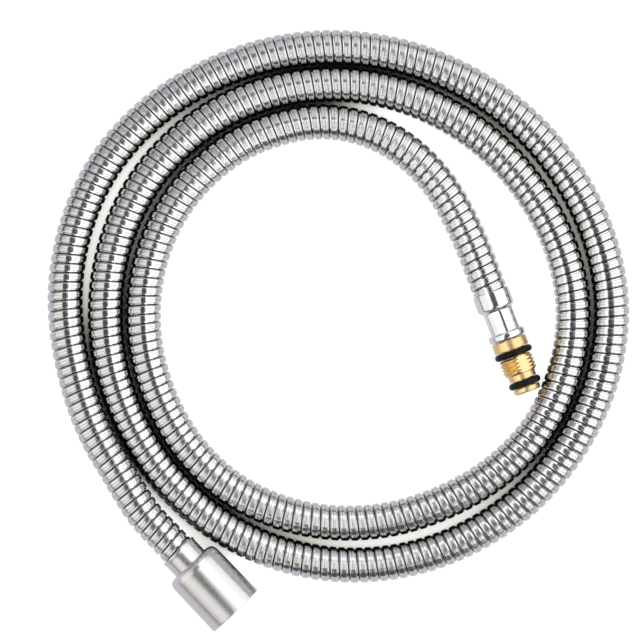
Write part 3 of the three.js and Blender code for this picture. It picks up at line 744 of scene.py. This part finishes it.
class Recipe:
    """One material, whose constants go on the shader's own sockets."""

    def __init__(self, name, **constants):
        self.material = bpy.data.materials.new(name)
        self.material.use_nodes = True
        self.tree = self.material.node_tree
        self.shader = self.tree.nodes["Principled BSDF"]
        for socket, value in constants.items():
            self.shader.inputs[socket.replace("_", " ")].default_value = value

    def node(self, kind, settings=None, values=None, output=0):
        """A node of a kind: its settings first, then the values or links of its sockets."""
        node = self.tree.nodes.new(kind)
        for key, value in (settings or {}).items():
            if key == "stops":
                while len(node.color_ramp.elements) < len(value):
                    node.color_ramp.elements.new(1)
                for element, (position, colour) in zip(node.color_ramp.elements, value):
                    element.position, element.color = position, (*colour, 1)
            else:
                setattr(node, key, value)
        for key, value in (values or {}).items():
            if isinstance(value, Wire):
                self.tree.links.new(value.socket, node.inputs[key])
            else:
                node.inputs[key].default_value = value
        return Wire(self, node.outputs[output])

    def feed(self, **wires):
        """Links wires to sockets of the shader."""
        for socket, wire in wires.items():
            self.tree.links.new(wire.socket, self.shader.inputs[socket.replace("_", " ")])
        return self.material

    def object_place(self):
        """A point's place in the object's own coordinates."""
        return self.node("ShaderNodeTexCoord", output="Object")

    def along(self, axis):
        """Distance in metres along an axis, in the object's own coordinates."""
        return self.node(
            "ShaderNodeVectorMath",
            {"operation": "DOT_PRODUCT"},
            {0: self.object_place(), 1: tuple(axis)},
            output="Value",
        )

    def value(self, name):
        """A number that the mesh keeps for each of its points."""
        return self.node("ShaderNodeAttribute", {"attribute_name": name}, output="Fac")

    def openness(self, distance, samples=16):
        """How much of the space over the surface is free of other surfaces within a distance."""
        return self.node(
            "ShaderNodeAmbientOcclusion", {"samples": samples}, {"Distance": distance}, output="AO",
        )

    def noise(self, scale, detail=2.0):
        """Cloudy noise in the object's own coordinates, whose scale is per metre."""
        return self.node(
            "ShaderNodeTexNoise",
            values={"Vector": self.object_place(), "Scale": scale, "Detail": detail},
        )

    def line_noise(self, coordinate, scale, detail=3.0):
        """Noise that changes along one coordinate only."""
        return self.node(
            "ShaderNodeTexNoise",
            {"noise_dimensions": "1D"},
            {"W": coordinate, "Scale": scale, "Detail": detail},
        )

    def blend(self, share, first, second):
        """A colour that goes from the first to the second as the share goes from 0 to 1."""
        return self.node(
            "ShaderNodeMix", {"data_type": "RGBA"}, {0: share, 6: first, 7: second}, output=2,
        )

    def bump(self, height, strength, distance):
        """A normal that leans as if the surface were raised by the height."""
        return self.node(
            "ShaderNodeBump", values={"Strength": strength, "Distance": distance, "Height": height},
        )


def rgb(red, green, blue):
    """An opaque colour."""
    return (red, green, blue, 1.0)


def strip_metal():
    """Polished nickel strip with painted shade: fine lines rolled along the winding, faint smudges.

    The colour is painted near black in the slits, and painted shade darkens the places that little
    light reaches, such as the flanks where two turns of the hose lie close. The lines follow the
    distance across the strip, in millimetres, so they run round the hose.
    """
    recipe = Recipe("strip_metal", Metallic=1.0, Anisotropic=0.9)
    depth = recipe.value("depth")
    lines = recipe.line_noise(recipe.value("across"), 1.7)
    smudge = recipe.noise(45.0, 3.0)
    # painted shade: the colour turns near black deep in the slits and darkens where other turns of the
    # hose close the strip in
    slit = depth.within(0.66, 0.9)
    crevice_painted_shade = 1 - (recipe.openness(STRIP_REACH) + 0.6 * depth).within(0.32, 0.74)
    dark = slit + 0.85 * crevice_painted_shade * (1 - slit)
    unshaded = recipe.blend(smudge, rgb(0.67, 0.66, 0.66), rgb(0.74, 0.735, 0.73))
    unshaded = recipe.blend(lines.within(0.36, 0.5), rgb(0.40, 0.395, 0.39), unshaded)
    return recipe.feed(
        # painted shade: the near-black colour painted into the slits and the close flanks
        Base_Color=recipe.blend(dark, unshaded, rgb(0.035, 0.032, 0.03)),
        Roughness=0.08 + 0.09 * lines + 0.05 * smudge + 0.3 * slit,
        Normal=recipe.bump(lines, 0.45, 0.0002),
    )


def satin_nickel():
    """Satin nickel: fine brushing round the axis over a soft cloudiness."""
    recipe = Recipe("satin_nickel", Metallic=1.0)
    brushing = recipe.line_noise(recipe.along(nut_end.axis), 5200.0, 4.0)
    cloud = recipe.noise(160.0, 3.0)
    return recipe.feed(
        Base_Color=recipe.blend(brushing, rgb(0.62, 0.61, 0.60), rgb(0.72, 0.71, 0.70)),
        Roughness=0.21 + 0.08 * brushing + 0.05 * cloud,
        Normal=recipe.bump(brushing, 0.2, 0.00003),
    )


def bright_chrome():
    """Chrome plate: nearly clear, with a faint haze."""
    recipe = Recipe("bright_chrome", Metallic=1.0)
    haze = recipe.noise(220.0, 4.0)
    return recipe.feed(
        Base_Color=recipe.blend(haze, rgb(0.70, 0.70, 0.71), rgb(0.79, 0.79, 0.795)),
        Roughness=0.09 + 0.08 * haze,
        Normal=recipe.bump(haze, 0.05, 0.00004),
    )


def turned_brass(name, axis):
    """Bare turned brass: tool lines round the axis and a slightly uneven colour."""
    recipe = Recipe(name, Metallic=1.0)
    tool_lines = recipe.line_noise(recipe.along(axis), 4200.0, 3.0)
    tarnish = recipe.noise(240.0, 4.0)
    return recipe.feed(
        Base_Color=recipe.blend(tarnish, rgb(0.93, 0.70, 0.37), rgb(0.80, 0.56, 0.26)),
        Roughness=0.27 + 0.12 * tool_lines + 0.06 * tarnish,
        Normal=recipe.bump(tool_lines, 0.25, 0.00005),
    )


def smooth_rubber(name, colour, dusty):
    """Moulded rubber: a fine grain and a little dust in its colour."""
    recipe = Recipe(name, Specular_IOR_Level=0.15)
    grain = recipe.noise(2600.0, 3.0)
    dust = recipe.noise(300.0, 4.0)
    return recipe.feed(
        Base_Color=recipe.blend(dust.within(0.45, 0.8), colour, dusty),
        Roughness=0.30 + 0.16 * grain,
        Normal=recipe.bump(grain, 0.15, 0.00004),
    )


def white_plastic():
    """The glide ring's moulded plastic, with faint flow marks."""
    recipe = Recipe("white_plastic")
    flow = recipe.noise(500.0, 3.0)
    return recipe.feed(
        Base_Color=recipe.blend(flow, rgb(0.86, 0.85, 0.80), rgb(0.90, 0.89, 0.85)),
        Roughness=0.38 + 0.12 * flow,
    )


# ---------------------------------------------------------------- camera, floor and lights

view_turn = math.radians(VIEW_HEADING)
view_right = Vector((math.cos(view_turn), math.sin(view_turn), 0))
view_up = Vector((-math.sin(view_turn), math.cos(view_turn), 0))
view_centre = Vector((VIEW_CENTRE[0], VIEW_CENTRE[1], 0)) * MM


def studio_point(right, up, height):
    """A point given as the photograph's right and up from the view's centre, in metres."""
    return view_centre + right * view_right + up * view_up + Vector((0, 0, height))


def make_camera():
    """The camera: straight over the view's centre, with the photograph's frame at VIEW_LEVEL."""
    data = bpy.data.cameras.new("view")
    data.sensor_width = VIEW_SENSOR
    data.lens = VIEW_SENSOR * (VIEW_DISTANCE - VIEW_LEVEL) / VIEW_WIDTH
    data.clip_start, data.clip_end = VIEW_CLIP
    camera = bpy.data.objects.new("view", data)
    camera.location = studio_point(0, 0, VIEW_DISTANCE * MM)
    camera.rotation_euler = (0, 0, view_turn)
    bpy.context.scene.collection.objects.link(camera)
    bpy.context.scene.camera = camera


def lamp_panel(name, across, upward, height, radiance, colour):
    """A level lamp panel over the hose, between two places across and two up the photograph.

    The metal shows the panels as bright bands and the dark room between them as stripes.
    """
    data = bpy.data.lights.new(name, "AREA")
    data.shape = "RECTANGLE"
    data.size, data.size_y = across[1] - across[0], upward[1] - upward[0]
    data.color = colour
    data.energy = radiance * math.pi * data.size * data.size_y
    lamp = bpy.data.objects.new(name, data)
    lamp.location = studio_point(sum(across) / 2, sum(upward) / 2, height)
    lamp.rotation_euler = (0, 0, view_turn)
    lamp.visible_camera = False
    bpy.context.scene.collection.objects.link(lamp)


def make_floor():
    """A pale sheet that shines by itself, overlit to the eye and a cool pale grey to the metal.

    Both carry painted shade and fade to dark where turns of the hose lie close over it.
    """
    mesh = bpy.data.meshes.new("floor")
    corners = FLOOR_HALF * np.array([(-1, -1, 0), (1, -1, 0), (1, 1, 0), (-1, 1, 0)])
    mesh.from_pydata(corners, [], [(0, 1, 2, 3)])
    floor = bpy.data.objects.new("floor", mesh)
    bpy.context.scene.collection.objects.link(floor)
    recipe = Recipe("white_sheet")
    openness = recipe.openness(FLOOR_REACH, FLOOR_SAMPLES)
    # painted shade: to the eye, the sheet goes from white to near black as turns of the hose close it
    # in
    overlit = recipe.node("ShaderNodeValToRGB", {"stops": SHEET_STOPS}, {"Fac": openness})
    grain = recipe.noise(60.0)
    pale = recipe.blend(grain, rgb(0.76, 0.74, 0.81), rgb(0.79, 0.77, 0.84))
    # painted shade: to the metal, the sheet goes near black where turns of the hose close it in
    pale = recipe.blend(openness.within(0.2, 0.5), rgb(0.01, 0.01, 0.01), pale)
    lit = recipe.node("ShaderNodeEmission", values={"Color": pale})
    glow = recipe.node("ShaderNodeEmission", values={"Color": overlit})
    seen = recipe.node("ShaderNodeLightPath", output="Is Camera Ray")
    both = recipe.node("ShaderNodeMixShader", values={0: seen, 1: lit, 2: glow})
    recipe.tree.links.new(both.socket, recipe.tree.nodes["Material Output"].inputs["Surface"])
    mesh.materials.append(recipe.material)


def make_surroundings():
    """A dark room behind the panels, which the eye sees as pale."""
    scene = bpy.context.scene
    scene.world = bpy.data.worlds.new("room")
    scene.world.use_nodes = True
    tree = scene.world.node_tree
    seen = tree.nodes.new("ShaderNodeLightPath").outputs["Is Camera Ray"]
    shade = tree.nodes.new("ShaderNodeMix")
    shade.data_type = "RGBA"
    shade.inputs[6].default_value = rgb(0.11, 0.11, 0.115)
    shade.inputs[7].default_value = rgb(0.95, 0.95, 0.95)
    tree.links.new(seen, shade.inputs[0])
    tree.links.new(shade.outputs[2], tree.nodes["Background"].inputs["Color"])
    scene.view_settings.view_transform = "Standard"


# ---------------------------------------------------------------- the whole


def finish_piece(piece, body, slot, material, *nodes):
    """Dresses a piece that moves with a body and stands for one or more nodes of the solids."""
    piece.data.materials.append(material)
    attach(piece, body)
    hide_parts(*nodes)
    return piece


make_camera()

strip = strip_metal()
nickel = satin_nickel()
chrome = bright_chrome()
spigot_brass = turned_brass("spigot_brass", spigot_end.axis)
insert_brass = turned_brass("insert_brass", nut_end.axis)
black_rubber = smooth_rubber("black_rubber", rgb(0.006, 0.006, 0.006), rgb(0.013, 0.013, 0.013))

hose, hose_path, hose_length = hose_sheath()
finish_piece(hose, "hose", "sheath_metal", strip, "hose_nut_run", "hose_coil", "hose_spigot_run")

finish_piece(neck_ferrule(), "hose", "brushed_nickel", nickel, "nut_end_ferrule")
finish_piece(flanged_insert(), "hose", "brass", insert_brass, "nut_end_insert")
finish_piece(seat_washer(), "hose", "black_rubber", black_rubber, "nut_washer")
finish_piece(cup_nut(), "nut", "brushed_nickel", nickel, "swivel_nut")

sleeve = finish_piece(hexagon_sleeve(), "hose", "chrome", chrome, "hex_ferrule")
spigot = finish_piece(brass_spigot(), "hose", "brass", spigot_brass, "threaded_spigot")
collar_seal = finish_piece(
    seal_ring("collar_seal", COLLAR_SEAL_RADIUS, (COLLAR_FRONT + THREAD_BACK) / 2),
    "hose", "black_rubber", black_rubber, "collar_o_ring",
)
nose_seal = finish_piece(
    seal_ring("nose_seal", NOSE_SEAL_RADIUS, (NECK_FRONT + NOSE_BACK) / 2),
    "hose", "black_rubber", black_rubber, "nose_o_ring",
)

hidden_looks = {
    "inner_tube": smooth_rubber("tube_rubber", rgb(0.30, 0.30, 0.29), rgb(0.40, 0.40, 0.38)),
    "nut_end_crimp_sleeve": chrome,
    "spigot_crimp_sleeve": chrome,
    "nut_glide_ring": white_plastic(),
}
for node, material in hidden_looks.items():
    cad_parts[node].data.materials.clear()
    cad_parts[node].data.materials.append(material)

make_floor()
make_surroundings()
for name, measures in PANELS.items():
    lamp_panel(name, *measures)
